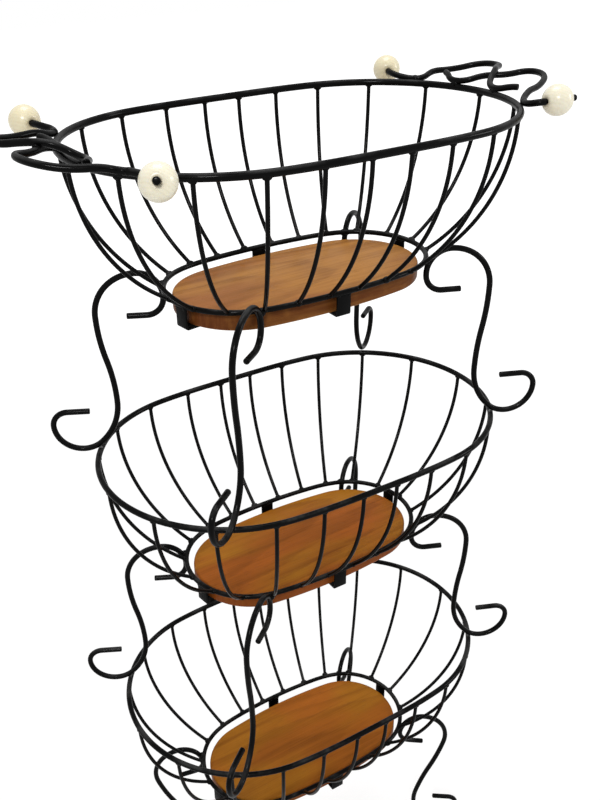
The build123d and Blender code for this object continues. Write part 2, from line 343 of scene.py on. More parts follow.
beadWood = {
    "front": {"cream": (0.9, 0.85, 0.68, 1), "straw": (0.74, 0.65, 0.43, 1)},
    "rear": {"cream": (0.84, 0.76, 0.53, 1), "straw": (0.66, 0.55, 0.34, 1)},
    # painted shade round both ends of the hole, where the pin's end meets the bead
    "paintedShade": (0.45, 0.34, 0.19, 1),
    "paintedShadeStrength": 0.7,
    "rings": 900,
    "ringWay": (0.55, 0.35, 0.75),
    "warpScale": 60,
    "warp": 3,
    "fibreScales": (500, 900, 2200),
    "blotchScale": 130,
    "ringStrength": 0.35,
    "fibreSwing": 0.5,
    "blotchSwing": 0.7,
    "darkness": 0.1,
    "strawStrength": 0.6,
    "roughness": 0.3,
    "fibreRoughness": 0.2,
    "reliefStrength": 0.7,
    "reliefDepth": 0.05 * mm,
    "ringRelief": 0.4,
    "specular": 0.45,
    "coat": 0.2,
    "coatRoughness": 0.18,
    "glow": 0.06,
    "glowReach": (0.004, 0.003, 0.0015),
}


def beadMaterial(name, tones, look):
    material, tree, shader = newMaterial(name)
    place = tree.objectPlace()
    warp = tree.noise(place, look["warpScale"], detail=3, roughness=0.5)
    axes = tree.apart(place)
    alongX, alongY, alongZ = look["ringWay"]
    along = axes.out("X") * alongX + axes.out("Y") * alongY + axes.out("Z") * alongZ
    ring = tree.maths("PINGPONG", along * look["rings"] + warp * look["warp"], 1.0)
    fibre = tree.noise(tree.stretched(place, look["fibreScales"]), 1, detail=3, roughness=0.6)
    blotch = tree.noise(place, look["blotchScale"], detail=3, roughness=0.6)
    tone = ring * look["ringStrength"] + swing(fibre, look["fibreSwing"])
    tone = tree.between(tone + swing(blotch, look["blotchSwing"]) + look["darkness"], 0.0, 1.0)
    colour = tree.mix(tone * look["strawStrength"], tones["cream"], tones["straw"])
    # painted shade: the bead darkens round both hole ends, where the pin meets it
    colour = tree.mix(tree.wearAndShade() * look["paintedShadeStrength"], colour, look["paintedShade"])
    height = fibre + ring * look["ringRelief"]
    feed(tree, shader, {
        "Base Color": colour,
        "Roughness": look["roughness"] + swing(fibre, look["fibreRoughness"]),
        "Specular IOR Level": look["specular"],
        "Coat Weight": look["coat"],
        "Coat Roughness": look["coatRoughness"],
        "Subsurface Weight": look["glow"],
        "Subsurface Radius": look["glowReach"],
        "Normal": tree.bump(look["reliefStrength"], look["reliefDepth"], height),
    })
    return material


screwSteel = {
    "bright": 0.62,
    "dull": 0.34,
    "dullNoise": (0.35, 0.7),
    "cloudScale": 300,
    "scratchScales": (300, 5000, 800),
    "roughness": 0.33,
    "scratchRoughness": 0.25,
    "cloudRoughness": 0.2,
    "scratchStrength": 0.4,
    "scratchDepth": 0.04 * mm,
}


def screwMaterial(name, look):
    material, tree, shader = newMaterial(name)
    place = tree.objectPlace()
    cloud = tree.noise(place, look["cloudScale"], detail=4, roughness=0.6)
    scratch = tree.noise(tree.stretched(place, look["scratchScales"]), 1, detail=2, roughness=0.5)
    dulled = tree.between(cloud, *look["dullNoise"])
    rough = look["roughness"] + swing(scratch, look["scratchRoughness"])
    rough = rough + swing(cloud, look["cloudRoughness"])
    feed(tree, shader, {
        "Base Color": tree.mix(dulled, grey(look["bright"]), grey(look["dull"])),
        "Metallic": 1.0,
        "Roughness": rough,
        "Normal": tree.bump(look["scratchStrength"], look["scratchDepth"], scratch),
    })
    return material


wireFinish = enamelMaterial("wireEnamel", enamel)
weldFinish = enamelMaterial("weldEnamel", enamel, roughen=0.06, lumps=1.2)
clipFinish = enamelMaterial("clipEnamel", enamel, roughen=0.14)
beadFinish = {end: beadMaterial(end + "BeadWood", beadWood[end], beadWood) for end in ("front", "rear")}
screwFinish = screwMaterial("screwSteel", screwSteel)
boardFinish = {tier: woodMaterial(tier + "BoardWood", boardWood[tier], boardWood) for tier in tiers}
print("finishes made")


# Sizes read from the frame
def hoop(node):
    low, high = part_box(node)
    wire = high.z - low.z
    return {
        "halfLength": high.x - wire / 2,
        "halfWidth": high.y - wire / 2,
        "radius": wire / 2,
        "height": (low.z + high.z) / 2,
    }


rimHoop = {tier: hoop(tier + "_rim") for tier in tiers}
ringHoop = {tier: hoop(tier + "_ring") for tier in tiers}
basketDepth = rimHoop["top"]["height"] - ringHoop["top"]["height"]
tierSpacing = rimHoop["top"]["height"] - rimHoop["middle"]["height"]


class Oval:
    def __init__(self, halfLength, halfWidth, endShare):
        self.halfLength = halfLength
        self.halfWidth = halfWidth
        self.endRadius = halfWidth * endShare
        self.endCentre = halfLength - self.endRadius
        chord = self.endCentre ** 2 + halfWidth ** 2 - self.endRadius ** 2
        self.sideRadius = chord / (2 * (halfWidth - self.endRadius))
        self.joinAngle = math.atan2(self.sideRadius - halfWidth, self.endCentre)
        self.sideLength = self.sideRadius * (math.pi / 2 - self.joinAngle)
        self.quarterLength = self.sideLength + self.endRadius * self.joinAngle

    def inset(self, distance):
        width = self.halfWidth - distance
        return Oval(self.halfLength - distance, width, (self.endRadius - distance) / width)

    def atAngle(self, degrees, outward=0.0):  # round the +X end
        angle = math.radians(degrees)
        radius = self.endRadius + outward
        return Vector((self.endCentre + radius * math.cos(angle), radius * math.sin(angle), 0))

    def atShare(self, share):  # 0 at the middle of the long side, 1 at the end, as place and direction
        distance = share * self.quarterLength
        if distance < self.sideLength:
            angle = math.pi / 2 - distance / self.sideRadius
            centre = Vector((0, self.halfWidth - self.sideRadius, 0))
            spoke = Vector((math.cos(angle), math.sin(angle), 0))
            return centre + spoke * self.sideRadius, Vector((spoke.y, -spoke.x, 0))
        angle = self.joinAngle - (distance - self.sideLength) / self.endRadius
        spoke = Vector((math.cos(angle), math.sin(angle), 0))
        return self.atAngle(math.degrees(angle)), Vector((spoke.y, -spoke.x, 0))

    def outline(self, steps):  # places and directions all the way round, this many to a quarter
        found = []
        for quarter in range(4):
            xSign = 1 if quarter < 2 else -1
            ySign = 1 if quarter in (0, 3) else -1
            for i in range(steps):
                share = i / steps if quarter % 2 == 0 else 1 - i / steps
                place, way = self.atShare(share)
                turn = 1 if quarter % 2 == 0 else -1
                found.append((mirrored(place, xSign, ySign), mirrored(way, xSign, ySign) * turn))
        return found


def mirrored(vector, xSign, ySign):
    return Vector((vector.x * xSign, vector.y * ySign, vector.z))


def heading(degrees, tilt=0.0):
    angle, rise = math.radians(degrees), math.radians(tilt)
    return Vector((math.cos(angle) * math.cos(rise), math.sin(angle) * math.cos(rise), math.sin(rise)))


def quarterPlace(turn):  # share and signs after some quarter turns from the middle of the front
    quarter = int(turn) % 4
    share = turn - int(turn)
    share = share if quarter % 2 == 0 else 1 - share
    xSign = 1 if quarter < 2 else -1
    ySign = 1 if quarter in (1, 2) else -1
    return share, xSign, ySign


endShares = {"rim": 0.98, "ring": 0.94}  # an end arc's radius against the oval's half width
rimOval = Oval(rimHoop["top"]["halfLength"], rimHoop["top"]["halfWidth"], endShares["rim"])
ringOval = Oval(ringHoop["top"]["halfLength"], ringHoop["top"]["halfWidth"], endShares["ring"])

ribs = {"count": 22, "crowdingShare": 0.3, "radius": 1.6 * mm, "sink": 0.3 * mm}


def ribPath(turn, tier):  # from the ring up to the rim
    share, xSign, ySign = quarterPlace(turn)
    low = mirrored(ringOval.atShare(share)[0], xSign, ySign)
    rimShare = share * (1 - ribs["crowdingShare"] + ribs["crowdingShare"] * share)
    high = mirrored(rimOval.atShare(rimShare)[0], xSign, ySign)
    run = high - low
    outward = run.normalized()
    radius = (run.length ** 2 + basketDepth ** 2) / (2 * run.length)
    topTrim = (rimHoop[tier]["radius"] - ribs["sink"]) / radius
    lowTrim = (ringHoop[tier]["radius"] - ribs["sink"]) / radius
    foot = math.asin(basketDepth / radius)
    centre = high + up * rimHoop[tier]["height"] - outward * radius
    path = []
    for angle in (foot - lowTrim, foot / 2, topTrim):
        spoke = outward * math.cos(angle) - up * math.sin(angle)
        path.append((centre + spoke * radius, outward * math.sin(angle) + up * math.cos(angle)))
    return path


legs = {
    "corners": {  # signs of X and Y, the leg's angle round the ring's end, its plane's heading
        "left_front": (-1, -1, 76.0, 37.5),
        "left_rear": (-1, 1, 35.0, 27.5),
        "right_front": (1, -1, 50.5, 23.5),
        "right_rear": (1, 1, 63.0, 38.0),
    },
    "radius": 2.4 * mm,
    "weldAngle": 26.0,
    "sink": 0.3 * mm,
    "gap": 0.4 * mm,
    "tipLength": 15.5 * mm,
    "tipRadius": 13.5 * mm,
    "tipRise": 1.5 * mm,
    "innerRadius": 19.5 * mm,
    "outerRadius": 33.5 * mm,
    "flareRadius": 48 * mm,
    "flareAngle": 48.0,
    "footRadius": 22.5 * mm,
    "footTipRadius": 12 * mm,
    "footTipLength": 18.5 * mm,
    "seatAngle": 62.0,
    "lean": 17.5,
    "mostTurn": 50.0,  # in one piece of an arc
}


# Lines are (length, 0) and arcs (radius, turn in degrees), and left turns are positive
def walk(start, way, moves):
    found = [(start, way)]
    for size, turn in moves:
        parts = max(1, math.ceil(abs(turn) / legs["mostTurn"]))
        for _ in range(parts):
            place, way = found[-1]
            if turn == 0:
                found.append((place + way * size, way))
                continue
            side = Vector((-way.y, way.x)) * math.copysign(1, turn)
            step = math.radians(abs(turn) / parts)
            place = place + way * size * math.sin(step) + side * size * (1 - math.cos(step))
            way = way * math.cos(step) + side * math.sin(step)
            found.append((place, way))
    return found


def rimCrossing(corner):  # how far out from the ring the leg's plane crosses the rim
    _, _, placeAngle, planeAngle = legs["corners"][corner]
    start = ringOval.atAngle(placeAngle) - Vector((rimOval.endCentre, 0, 0))
    along = start.dot(heading(planeAngle))
    return math.sqrt(along ** 2 + rimOval.endRadius ** 2 - start.length ** 2) - along


def curlCentre():  # the upper curl's, from the ring
    reach = legs["innerRadius"] + legs["radius"] + ringHoop["bottom"]["radius"] - legs["sink"]
    return heading(-legs["weldAngle"]).xy * reach


def footCentre(corner):  # the lower curl's, where it seats on the rim below
    reach = legs["footRadius"] + legs["radius"] + rimHoop["bottom"]["radius"] + legs["gap"]
    return Vector((rimCrossing(corner), basketDepth - tierSpacing)) + heading(legs["seatAngle"]).xy * reach


def footTurn(corner):  # turns each foot of the lowest basket in until all four stand level
    arms = {name: footCentre(name) - curlCentre() for name in legs["corners"]}
    lean = math.radians(legs["lean"])
    level = max(arm.y * math.cos(lean) - arm.x * math.sin(lean) for arm in arms.values())
    arm = arms[corner]
    return math.asin(-level / arm.length) - math.atan2(-arm.y, arm.x)


def legPath(corner, tier):
    look = legs
    xSign, ySign, placeAngle, planeAngle = look["corners"][corner]
    inner = curlCentre()
    foot = footCentre(corner)
    flare = foot + heading(look["flareAngle"]).xy * (look["flareRadius"] - look["footRadius"])
    shoulder = inner + Vector((look["outerRadius"], look["innerRadius"] - look["outerRadius"]))
    drop = flare - Vector((look["flareRadius"], 0)) - shoulder
    bend = drop.length_squared / (4 * abs(drop.x))
    sway = math.degrees(2 * math.atan2(abs(drop.x), -drop.y)) * math.copysign(1, drop.x)
    tip = inner - Vector((look["innerRadius"] - look["tipRadius"], look["tipRise"] + look["tipRadius"]))
    moves = [
        (look["tipLength"], 0),
        (look["tipRadius"], -90),
        (look["tipRise"], 0),
        (look["innerRadius"], -90),
        (look["outerRadius"], -90),
        (bend, sway),
        (bend, -sway),
        (look["flareRadius"], look["flareAngle"]),
        (look["footRadius"], 180 - look["flareAngle"]),
        (look["footTipRadius"], 90),
        (look["footTipLength"], 0),
    ]
    flat = walk(tip + Vector((look["tipLength"], 0)), Vector((-1, 0)), moves)
    if tier == "bottom":
        turn = Matrix.Rotation(-footTurn(corner), 2)
        flat = [(inner + turn @ (place - inner), turn @ way) for place, way in flat]
    base = mirrored(ringOval.atAngle(placeAngle), xSign, ySign) + up * ringHoop[tier]["height"]
    outward = mirrored(heading(planeAngle), xSign, ySign)
    return [(base + outward * p.x + up * p.y, outward * w.x + up * w.y) for p, w in flat]


handles = {
    "radius": 2.5 * mm,
    "reach": 40 * mm,
    "span": 54 * mm,
    "rise": 13 * mm,
    "skew": 5 * mm,
    "weldAngle": 34.0,
    "weldRise": 3 * mm,
    "seatAngle": 11.5,
    "seatHeading": 85,
    "sink": 0.3 * mm,
    "turnings": {  # shares of the reach, the span and the rise, then the wire's heading there
        "innerEnd": ((0.1, -0.78, 0.6), 112),
        "crossing": ((0.48, 0, 0.92), 42),
        "loop": ((1, 0.44, 1), 90),
        "back": ((0.19, 1, 0.6), 160),
    },
}
beads = {
    "radius": 11.5 * mm,
    "length": 21 * mm,
    "rise": 6 * mm,
    "gap": 0.3 * mm,
    "holeRadius": 1.98 * mm,
    "holeEase": 0.7 * mm,
    "arcSteps": 28,
    "paintedShadeReach": 3.2 * mm,
    "places": {  # bearing and distance from the weld, then the pin's heading and tilt
        "left_front": (90.0, 41 * mm, 62.0, 18.0),
        "left_rear": (77.0, 37 * mm, 80.0, 0.0),
        "right_front": (56.0, 24 * mm, 6.0, 0.0),
        "right_rear": (91.0, 38 * mm, 60.0, 0.0),
    },
}
pins = {
    "radius": 1.9 * mm,
    "endRadius": 2.4 * mm,
    "endLength": 6 * mm,
    "endEase": 1.0 * mm,
    "sink": 0.2 * mm,
    "segments": 24,
}


def handlePlaces(corner):  # from the inner end round to the bead's centre, as places and directions
    bearing, reach, aim, tilt = beads["places"][corner]
    xSign, ySign = legs["corners"][corner][:2]
    skew = handles["skew"] * xSign * ySign
    contact = rimHoop["top"]["radius"] + handles["radius"] - handles["sink"]
    crossLift = (handles["radius"] - handles["sink"] / 2) * ySign
    out = math.sqrt(contact ** 2 - handles["weldRise"] ** 2)
    joint = rimOval.atAngle(handles["weldAngle"], out)
    seat = rimOval.atAngle(math.degrees(skew / rimOval.endRadius) - handles["seatAngle"])
    end = Vector((rimOval.halfLength, skew, 0))
    beadWay = heading(aim, tilt)
    bead = joint + heading(bearing) * reach + up * beads["rise"]

    def turning(name, lift=0.0):
        (outShare, sideShare, riseShare), way = handles["turnings"][name]
        rise = riseShare * handles["rise"] + lift
        return end + Vector((outShare * handles["reach"], sideShare * handles["span"], rise)), heading(way)

    places = {
        "innerEnd": turning("innerEnd"),
        "seat": (seat + up * contact, heading(handles["seatHeading"])),
        "crossing": turning("crossing", crossLift),
        "loop": turning("loop"),
        "back": turning("back"),
        "weld": (joint + up * handles["weldRise"], heading(90 + handles["weldAngle"])),
        "beadFace": (bead - beadWay * (beads["length"] / 2 + beads["gap"]), beadWay),
        "bead": (bead, beadWay),
    }
    lift = up * rimHoop["top"]["height"]
    return {
        name: (mirrored(place, xSign, ySign) + lift, mirrored(way, xSign, ySign))
        for name, (place, way) in places.items()
    }


def handlePath(corner):  # two tangent arcs between each place and the next
    places = list(handlePlaces(corner).values())[:-1]
    path = [places[0]]
    for (start, startWay), (end, endWay) in zip(places, places[1:]):
        chord = end - start
        both = startWay + endWay
        bend = 2 * (1 - startWay.dot(endWay))
        reach = (math.sqrt(chord.dot(both) ** 2 + bend * chord.dot(chord)) - chord.dot(both)) / bend
        middle = (start + end + (startWay - endWay) * reach) / 2
        half = (middle - start).normalized()
        path += [(middle, 2 * half.dot(startWay) * half - startWay), (end, endWay)]
    return path


# Wires swept along their paths
wires = {
    "sides": 16,
    "step": 3 * mm,
    "fineStep": 1.6 * mm,
    "curveSteps": 24,
    "hoopSteps": 3,
    "unevenness": 0.1 * mm,
    "unevenScale": 140,
    "endRounding": 0.5 * mm,
    "rubReach": 4 * mm,
}
mergeDistance = 0.01 * mm


def newObject(name, data):
    made = bpy.data.objects.new(name, data)
    bpy.context.scene.collection.objects.link(made)
    return made


def meshObject(name, made):  # from a bmesh, which is done with
    mesh = bpy.data.meshes.new(name)
    made.to_mesh(mesh)
    made.free()
    return newObject(name, mesh)


def evaluatedMesh(source):
    graph = bpy.context.evaluated_depsgraph_get()
    return bpy.data.meshes.new_from_object(source.evaluated_get(graph), depsgraph=graph)


def curveFrom(name, paths, closed=False):  # each stretch between two knots is one arc or line
    curve = bpy.data.curves.new(name, "CURVE")
    curve.dimensions = "3D"
    curve.resolution_u = wires["curveSteps"]
    for path in paths:
        spline = curve.splines.new("BEZIER")
        spline.bezier_points.add(len(path) - 1)
        spline.use_cyclic_u = closed
        for point, (place, _) in zip(spline.bezier_points, path):
            point.handle_left_type = point.handle_right_type = "FREE"
            point.co = point.handle_left = point.handle_right = place
        stretches = len(path) if closed else len(path) - 1
        for i in range(stretches):
            j = (i + 1) % len(path)
            chord = path[j][0] - path[i][0]
            half = path[i][1].angle(chord)
            pull = chord.length / (3 * math.cos(half / 2) ** 2)
            spline.bezier_points[i].handle_right = path[i][0] + path[i][1] * pull
            spline.bezier_points[j].handle_left = path[j][0] - path[j][1] * pull
    return newObject(name, curve)


def newGeometryTree(name, inputs):
    tree = bpy.data.node_groups.new(name, "GeometryNodeTree")
    tree.interface.new_socket("Geometry", in_out="OUTPUT", socket_type="NodeSocketGeometry")
    tree.interface.new_socket("Geometry", in_out="INPUT", socket_type="NodeSocketGeometry")
    for label, kind in inputs.items():
        tree.interface.new_socket(label, in_out="INPUT", socket_type="NodeSocket" + kind)
    made = NodeTree(tree)
    return made, made.add("NodeGroupInput")


def finishTree(tree, geometry, source):
    real = tree.add("GeometryNodeRealizeInstances", {}, {"Geometry": geometry})
    dressed = tree.add("GeometryNodeSetMaterial", {}, {"Geometry": real, "Material": source.out("Finish")})
    tree.add("NodeGroupOutput", {}, [dressed])
    return tree.tree


def skin(tree, geometry, amount, scale):  # uneven enamel: moves the surface in and out a little
    place = tree.add("GeometryNodeInputPosition")
    swell = swing(tree.noise(place, scale, detail=2), amount)
    normal = tree.add("GeometryNodeInputNormal")
    offset = tree.add("ShaderNodeVectorMath", {"operation": "SCALE"}, {"Vector": normal, "Scale": swell})
    return tree.add("GeometryNodeSetPosition", {}, {"Geometry": geometry, "Offset": offset})


def onPoints(tree, source, shape, rotation, extra):
    values = {"Points": source.out("Geometry"), "Instance": shape, "Rotation": rotation, **extra}
    return tree.add("GeometryNodeInstanceOnPoints", {}, values)


def sweptWireTree():
    tree, source = newGeometryTree("sweptWire", {
        "Wire Radius": "Float",
        "Sides": "Int",
        "Step": "Float",
        "Unevenness": "Float",
        "Finish": "Material",
    })
    along = {"Curve": source.out("Geometry"), "Length": source.out("Step")}
    even = tree.add("GeometryNodeResampleCurve", {"mode": "LENGTH"}, along)
    circle = {"Resolution": source.out("Sides"), "Radius": source.out("Wire Radius")}
    section = tree.add("GeometryNodeCurvePrimitiveCircle", {}, circle)
    parts = {"Curve": even, "Profile Curve": section, "Fill Caps": True}
    swept = tree.add("GeometryNodeCurveToMesh", {}, parts)
    coated = skin(tree, swept, source.out("Unevenness"), wires["unevenScale"])
    return finishTree(tree, coated, source)


def runTree(source, tree, values, name):  # the tree's result as a plain mesh of its own
    modifier = source.modifiers.new("nodes", "NODES")
    modifier.node_group = tree
    labels = {item.name: item.identifier for item in tree.interface.items_tree if item.in_out == "INPUT"}
    for label, value in values.items():
        modifier[labels[label]] = value
    bpy.context.view_layer.update()
    mesh = evaluatedMesh(source)
    source.modifiers.remove(modifier)
    bpy.data.objects.remove(source)
    mesh.name = name
    return newObject(name, mesh)


def smooth(piece, sharpFrom=50):
    made = bmesh.new()
    made.from_mesh(piece.data)
    bmesh.ops.remove_doubles(made, verts=made.verts, dist=mergeDistance)
    bmesh.ops.recalc_face_normals(made, faces=made.faces)
    for edge in made.edges:
        edge.smooth = len(edge.link_faces) == 2 and edge.calc_face_angle(0) < math.radians(sharpFrom)
    for face in made.faces:
        face.smooth = True
    made.to_mesh(piece.data)
    made.free()
    return piece


def roundEnds(piece):  # takes the sharpness off cut wire ends
    modifier = piece.modifiers.new("cutEnds", "BEVEL")
    modifier.width = wires["endRounding"]
    modifier.segments = 2
    modifier.limit_method = "ANGLE"
    modifier.angle_limit = math.radians(60)
    modifier.use_clamp_overlap = True
    mesh = evaluatedMesh(piece)
    piece.modifiers.remove(modifier)
    piece.data = mesh
    return piece


# wear on wires, boards and clips; on the beads, painted shade round the hole ends
def addWearAndShade(piece, places=(), reach=wires["rubReach"]):  # a patch round each place, read by the finishes
    layer = piece.data.attributes.new("wearAndShade", "FLOAT", "POINT")
    for vertex, value in zip(piece.data.vertices, layer.data):
        near = min(((vertex.co - place).length for place in places), default=math.inf)
        value.value = math.exp(-((near / reach) ** 2))
    return piece


def attach(piece, body, replaced):
    if replaced:
        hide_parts(*replaced)
    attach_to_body(piece, body)


sweptWire = sweptWireTree()


def wirePiece(name, paths, radius, step, closed=False):
    values = {
        "Wire Radius": radius,
        "Sides": wires["sides"],
        "Step": step,
        "Unevenness": wires["unevenness"],
        "Finish": wireFinish,
    }
    piece = smooth(runTree(curveFrom(name + "Path", paths, closed), sweptWire, values, name))
    return piece if closed else smooth(roundEnds(piece), sharpFrom=70)


def hoopPiece(name, oval, size):
    path = [(spot + up * size["height"], way) for spot, way in oval.outline(wires["hoopSteps"])]
    return wirePiece(name, [path], size["radius"], wires["step"], closed=True)


def seats(tier):  # where the legs of the basket above rub on this rim
    found = []
    for corner, (xSign, ySign, placeAngle, planeAngle) in legs["corners"].items():
        spot = ringOval.atAngle(placeAngle) + heading(planeAngle) * rimCrossing(corner)
        found.append(mirrored(spot, xSign, ySign) + up * (rimHoop[tier]["height"] + rimHoop[tier]["radius"]))
    return found


ribTurns = [(i + 0.5) * 4 / ribs["count"] for i in range(ribs["count"])]
ribPaths = {tier: [ribPath(turn, tier) for turn in ribTurns] for tier in tiers}
legPaths = {tier: {corner: legPath(corner, tier) for corner in legs["corners"]} for tier in tiers}
handlePaths = {corner: handlePath(corner) for corner in beads["places"]}

for index, tier in enumerate(tiers):
    body = tier + "_basket"
    rim = hoopPiece(tier + "RimHoop", rimOval, rimHoop[tier])
    addWearAndShade(rim, seats(tier) if tier != "top" else [])
    attach(rim, body, [tier + "_rim"])
    ring = hoopPiece(tier + "RingHoop", ringOval, ringHoop[tier])
    addWearAndShade(ring)
    attach(ring, body, [tier + "_ring"])
    cage = wirePiece(tier + "Ribs", ribPaths[tier], ribs["radius"], wires["step"])
    addWearAndShade(cage)
    attach(cage, body, [tier + "_ribs"])
    scrolls = wirePiece(tier + "Legs", list(legPaths[tier].values()), legs["radius"], wires["fineStep"])
    if tier == "bottom":  # on the floor
        rubbed = [min((p for p, _ in path), key=lambda spot: spot.z) for path in legPaths[tier].values()]
    else:  # on the rim below
        rubbed = seats(tiers[index - 1])
    addWearAndShade(scrolls, rubbed)
    attach(scrolls, body, [f"{tier}_leg_{corner}" for corner in legs["corners"]])
print("wires swept")


# Shapes turned about an axis
easedCorner = (0, 0.4, 0.8, 1.2, math.pi / 2)  # angles round a quarter circle


def turned(name, outline, middle, axis, segments=64, closed=True):  # outline as (radius, height) pairs
    made = bmesh.new()
    frameAxes = axis.to_track_quat("Z", "Y").to_matrix()
    loops = []
    for radius, height in outline:
        loop = []
        for i in range(segments):
            angle = 2 * math.pi * i / segments
            spot = Vector((radius * math.cos(angle), radius * math.sin(angle), height))
            loop.append(made.verts.new(middle + frameAxes @ spot))
        loops.append(loop)
    rows = list(zip(loops, loops[1:] + loops[:1])) if closed else list(zip(loops, loops[1:]))
    for first, second in rows:
        for i in range(segments):
            j = (i + 1) % segments
            made.faces.new((first[i], first[j], second[j], second[i]))
    if not closed:
        made.faces.new(loops[0])
        made.faces.new(loops[-1])
    bmesh.ops.recalc_face_normals(made, faces=made.faces)
    return smooth(meshObject(name, made), sharpFrom=40)


def beadOutline():  # the ball's arc between two small flats, with the hole's edges eased
    flat = beads["length"] / 2
    edge = math.asin(flat / beads["radius"])
    steps = beads["arcSteps"]
    arc = [-edge + 2 * edge * i / steps for i in range(steps + 1)]
    outline = [(beads["radius"] * math.cos(a), beads["radius"] * math.sin(a)) for a in arc]
    hole, ease = beads["holeRadius"], beads["holeEase"]
    waist = 0.3 * ease
    top = [(hole + ease, flat), (hole + waist, flat - waist), (hole, flat - ease)]
    low = [(r, -h) for r, h in reversed(top)]
    return outline + top + low


def pinOutline():
    stop = beads["length"] / 2 + beads["gap"]
    start = -beads["length"] / 2 - beads["gap"] - pins["sink"]
    end = stop + pins["endLength"]
    ease = pins["endEase"]
    edge = pins["endRadius"] - ease
    dome = [(edge + ease * math.cos(a), end - ease + ease * math.sin(a)) for a in easedCorner]
    return [(pins["radius"], start), (pins["radius"], stop), (pins["endRadius"], stop)] + dome


def joined(pieces, name):
    made = bmesh.new()
    for piece in pieces:
        made.from_mesh(piece.data)
    whole = meshObject(name, made)
    for finish in pieces[0].data.materials:
        whole.data.materials.append(finish)
    for piece in pieces:
        bpy.data.objects.remove(piece)
    return whole


handleParts = [wirePiece("handleScrolls", list(handlePaths.values()), handles["radius"], wires["fineStep"])]
for corner in beads["places"]:
    middle, way = handlePlaces(corner)["bead"]
    ball = turned("bead" + corner.title().replace("_", ""), beadOutline(), middle, way)
    ball.data.materials.append(beadFinish[corner.split("_")[1]])
    # painted shade round both ends of the bead's hole
    holeEnds = [middle + way * beads["length"] / 2 * side for side in (-1, 1)]
    addWearAndShade(ball, holeEnds, beads["paintedShadeReach"])
    attach(ball, "bead_" + corner, ["bead_" + corner])
    handleParts.append(turned("pin", pinOutline(), middle, way, pins["segments"], closed=False))
handleSet = joined(handleParts, "handleWires")
addWearAndShade(handleSet, [handlePlaces(corner)["crossing"][0] for corner in beads["places"]])
attach(handleSet, "top_basket", ["handle_" + corner for corner in beads["places"]])
print("handles and beads made")


# Weld beads where wires meet
weld = {
    "rib": 2.3 * mm,
    "leg": 3.1 * mm,
    "handle": 3.0 * mm,
    "clip": 1.6 * mm,
    "crossingShare": 0.8,  # of a handle's weld, where two scrolls cross
    "ribTopLift": 0.5 * mm,
    "ribFootDrop": 0.3 * mm,
    "clipSpreadShare": 0.38,  # of the clip's width, to each side
    "stretch": 1.35,
    "sizes": (0.85, 1.15),
    "lump": 1.1 * mm,
    "lumpScale": 420,
    "waySteps": 40,
    "seed": 11,
}


def weldTree():
    tree, source = newGeometryTree("weldBeads", {
        "Stretch": "Float",
        "Lumpiness": "Float",
        "Seed": "Int",
        "Finish": "Material",
    })
    ball = tree.add("GeometryNodeMeshIcoSphere", {}, {"Radius": 1.0, "Subdivisions": 3})
    size = tree.add("GeometryNodeInputNamedAttribute", {"data_type": "FLOAT"}, {"Name": "size"})
    along = tree.add("GeometryNodeInputNamedAttribute", {"data_type": "FLOAT_VECTOR"}, {"Name": "along"})
    rotation = tree.add("FunctionNodeAlignRotationToVector", {"axis": "X"}, {"Vector": along})
    wide = size * tree.random(*weld["sizes"], source.out("Seed"))
    scale = tree.vector(wide * source.out("Stretch"), wide, wide)
    placed = onPoints(tree, source, ball, rotation, {"Scale": scale})
    real = tree.add("GeometryNodeRealizeInstances", {}, {"Geometry": placed})
    lumpy = skin(tree, real, source.out("Lumpiness"), weld["lumpScale"])
    return finishTree(tree, lumpy, source)


def weldPoints(name, spots):  # spots as (place, direction along the joint, size)
    mesh = bpy.data.meshes.new(name)
    mesh.from_pydata([spot for spot, _, _ in spots], [], [])
    size = mesh.attributes.new("size", "FLOAT", "POINT")
    along = mesh.attributes.new("along", "FLOAT_VECTOR", "POINT")
    for i, (_, way, wide) in enumerate(spots):
        size.data[i].value = wide
        along.data[i].vector = way
    return newObject(name, mesh)


def hoopWay(spot, oval):  # direction along the hoop at its nearest place
    around = min(oval.outline(weld["waySteps"]), key=lambda item: (item[0].xy - spot.xy).length)
    return around[1]


clips = {
    "turns": (0, 1, 2, 3),
    "endShift": 2 / ribs["count"],
    "width": 12 * mm,
    "thickness": 1.6 * mm,
    "foot": 22 * mm,
    "bend": 2.4 * mm,
    "edgeEase": 0.35 * mm,
    "screwInset": 14 * mm,
    "rubReach": 3.6 * mm,
    "sink": 0.3 * mm,
}
board = {
    "edgeGap": 4 * mm,
    "drop": 4 * mm,
    "thickness": 13 * mm,
    "rounding": 2 * mm,
    "outlineSteps": 36,
    "wearSteps": 9,
    "wearReach": 3 * mm,
}
boardOval = ringOval.inset(ringHoop["top"]["radius"] + board["edgeGap"])


def clipPlaces(tier):  # place on the ring and the way out from the board
    found = []
    for turn in clips["turns"]:
        turn = turn + (clips["endShift"] if turn % 2 else 0)
        share, xSign, ySign = quarterPlace(turn)
        ringSpot = mirrored(ringOval.atShare(share)[0], xSign, ySign)
        inner = mirrored(boardOval.atShare(share)[0], xSign, ySign)
        found.append((ringSpot + up * ringHoop[tier]["height"], (ringSpot - inner).normalized()))
    return found


def ribWelds(tier):
    spots = []
    for path in ribPaths[tier]:
        foot, head = path[0][0], path[-1][0]
        spots.append((head + up * weld["ribTopLift"], hoopWay(head, rimOval), weld["rib"]))
        spots.append((foot - up * weld["ribFootDrop"], hoopWay(foot, ringOval), weld["rib"]))
    return spots


